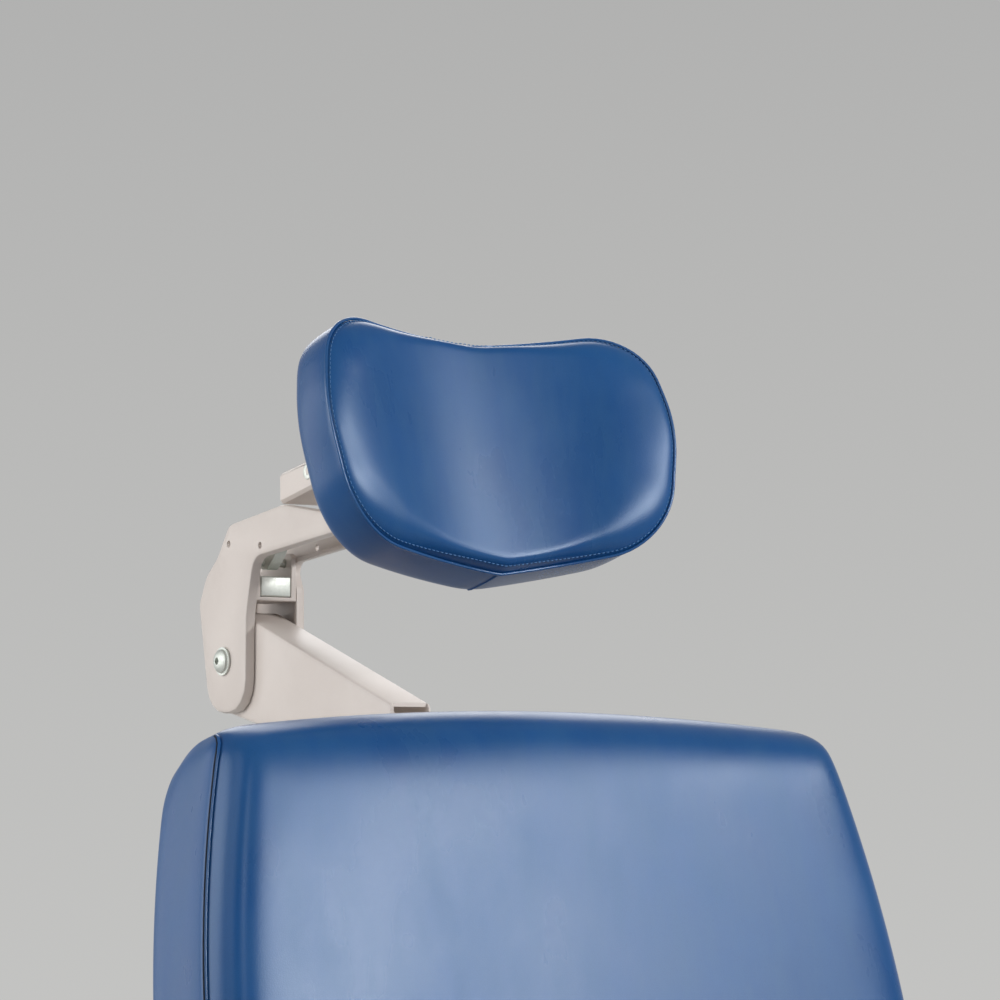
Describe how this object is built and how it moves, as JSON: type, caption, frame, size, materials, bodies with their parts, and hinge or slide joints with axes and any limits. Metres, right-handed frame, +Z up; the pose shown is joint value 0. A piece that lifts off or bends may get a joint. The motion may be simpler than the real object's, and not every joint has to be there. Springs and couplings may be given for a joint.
{
  "type": "ear nose and throat examination chair",
  "caption": "Blue padded ENT examination chair with a lifting column, reclining back, leg rest and jointed headrest.",
  "frame": {"origin": "on the floor under the lifting column's axis", "axes": "+Z up; the seated person looks towards -Y; X runs across the chair, +X on the pump pedal's side"},
  "size_m": [0.6736, 1.3979, 1.4146],
  "materials": {
    "paint": "warm off-white powder coat",
    "leather": "blue leatherette, satin",
    "zinc": "zinc plated",
    "steel": "satin",
    "black": "fine grain",
    "board": "plywood",
    "cover": "moulded, fine grain",
    "chrome": "polished"
  },
  "bodies": {
    "base": {"base_plate": "paint", "base_cover": "cover", "column_outer": "paint", "guide_collar": "black", "lift_cylinder": "steel", "pedal_bracket": "steel"},
    "pedal": {"pump_pedal": "black"},
    "lift": {"column_inner": "steel", "lift_ram": "chrome", "swivel_bearing": "black"},
    "swivel": {"swivel_plate": "steel", "seat_rail_left": "paint", "seat_rail_right": "paint", "seat_cross_front": "paint", "seat_cross_rear": "paint", "seat_pan": "board", "seat_cushion": "leather", "recline_disc_left": "black", "recline_disc_right": "black", "arm_mount_left": "paint", "arm_mount_right": "paint"},
    "swivel_lever": {"swivel_lever": "steel"},
    "recline_lever": {"recline_lever": "black"},
    "arm_left": {"arm_beam_left": "paint", "arm_pad_left": "leather"},
    "arm_right": {"arm_beam_right": "paint", "arm_pad_right": "leather"},
    "leg": {"leg_bar_left": "paint", "leg_bar_right": "paint", "leg_cross": "paint", "leg_board": "board", "leg_cushion": "leather"},
    "foot": {"foot_plate": "cover"},
    "tie": {"tie_rod": "steel"},
    "back": {"back_upright_left": "paint", "back_upright_right": "paint", "back_bar_lower": "paint", "back_bar_middle": "paint", "back_bar_upper": "paint", "back_board": "board", "back_cushion": "leather", "back_shell": "cover", "headrest_guide": "steel"},
    "knob": {"clamp_knob": "black"},
    "post": {"headrest_post": "chrome", "headrest_arm": "paint"},
    "link": {"link_cheek_left": "paint", "link_cheek_right": "paint", "link_bracket": "paint", "lock_block": "zinc", "lower_pivot_bolt": "zinc", "lower_pivot_nut": "zinc", "upper_pivot_pin": "zinc"},
    "lever": {"release_lever": "zinc"},
    "pad": {"pad_bracket": "paint", "pad_board": "cover", "headrest_pad": "leather"}
  },
  "joints": [
    {"name": "lift_slide", "type": "slide", "parent": "base", "child": "lift", "axis": [0, 0, 1], "range_m": [0, 0.18]},
    {"name": "swivel_turn", "type": "hinge", "parent": "lift", "child": "swivel", "pos_m": [0, 0, 0.4126], "axis": [0, 0, 1], "continuous": true},
    {"name": "recline_turn", "type": "hinge", "parent": "swivel", "child": "back", "pos_m": [0, 0.225, 0.4729], "axis": [-1, 0, 0], "range_deg": [0, 75]},
    {"name": "leg_turn", "type": "hinge", "parent": "swivel", "child": "leg", "pos_m": [0, -0.305, 0.4369], "axis": [-1, 0, 0], "range_deg": [0, 75]},
    {"name": "tie_turn", "type": "hinge", "parent": "back", "child": "tie", "pos_m": [0, 0.27066, 0.4134], "axis": [-1, 0, 0], "range_deg": [-75, 0]},
    {"name": "foot_turn", "type": "hinge", "parent": "leg", "child": "foot", "pos_m": [0, -0.47246, 0.13001], "axis": [-1, 0, 0], "range_deg": [0, 95]},
    {"name": "arm_left_turn", "type": "hinge", "parent": "swivel", "child": "arm_left", "pos_m": [0, 0.12, 0.672], "axis": [-1, 0, 0], "range_deg": [0, 95]},
    {"name": "arm_right_turn", "type": "hinge", "parent": "swivel", "child": "arm_right", "pos_m": [0, 0.12, 0.672], "axis": [-1, 0, 0], "range_deg": [0, 95]},
    {"name": "swivel_lever_turn", "type": "hinge", "parent": "swivel", "child": "swivel_lever", "pos_m": [-0.0765, -0.0765, 0.4123], "axis": [0, 0, 1], "range_deg": [0, 25]},
    {"name": "recline_lever_turn", "type": "hinge", "parent": "swivel", "child": "recline_lever", "pos_m": [0, 0.225, 0.4729], "axis": [-1, 0, 0], "range_deg": [0, 8], "stiffness_Nm_per_rad": 1, "springref_deg": -5.73},
    {"name": "pedal_turn", "type": "hinge", "parent": "base", "child": "pedal", "pos_m": [0.11, 0.285, 0.032], "axis": [-1, 0, 0], "range_deg": [0, 14], "stiffness_Nm_per_rad": 6, "springref_deg": -20.05},
    {"name": "post_slide", "type": "slide", "parent": "back", "child": "post", "axis": [0, 0.2419, 0.9703], "range_m": [0, 0.12]},
    {"name": "knob_turn", "type": "hinge", "parent": "back", "child": "knob", "pos_m": [0, 0.39245, 0.92584], "axis": [0, 0.9703, -0.2419], "range_deg": [0, 180]},
    {"name": "link_turn", "type": "hinge", "parent": "post", "child": "link", "pos_m": [0, 0.694, 1.18905], "axis": [-1, 0, 0], "range_deg": [-8, 45]},
    {"name": "lock_lever_turn", "type": "hinge", "parent": "link", "child": "lever", "pos_m": [0, 0.672, 1.26555], "axis": [-1, 0, 0], "range_deg": [0, 12], "stiffness_Nm_per_rad": 0.2, "springref_deg": -11.46},
    {"name": "pad_turn", "type": "hinge", "parent": "link", "child": "pad", "pos_m": [0, 0.514, 1.28405], "axis": [-1, 0, 0], "range_deg": [-12, 30]}
  ],
  "couplings": [
    {"joint": "leg_turn", "follows": "recline_turn", "ratio": 1},
    {"joint": "tie_turn", "follows": "recline_turn", "ratio": -1}
  ]
}
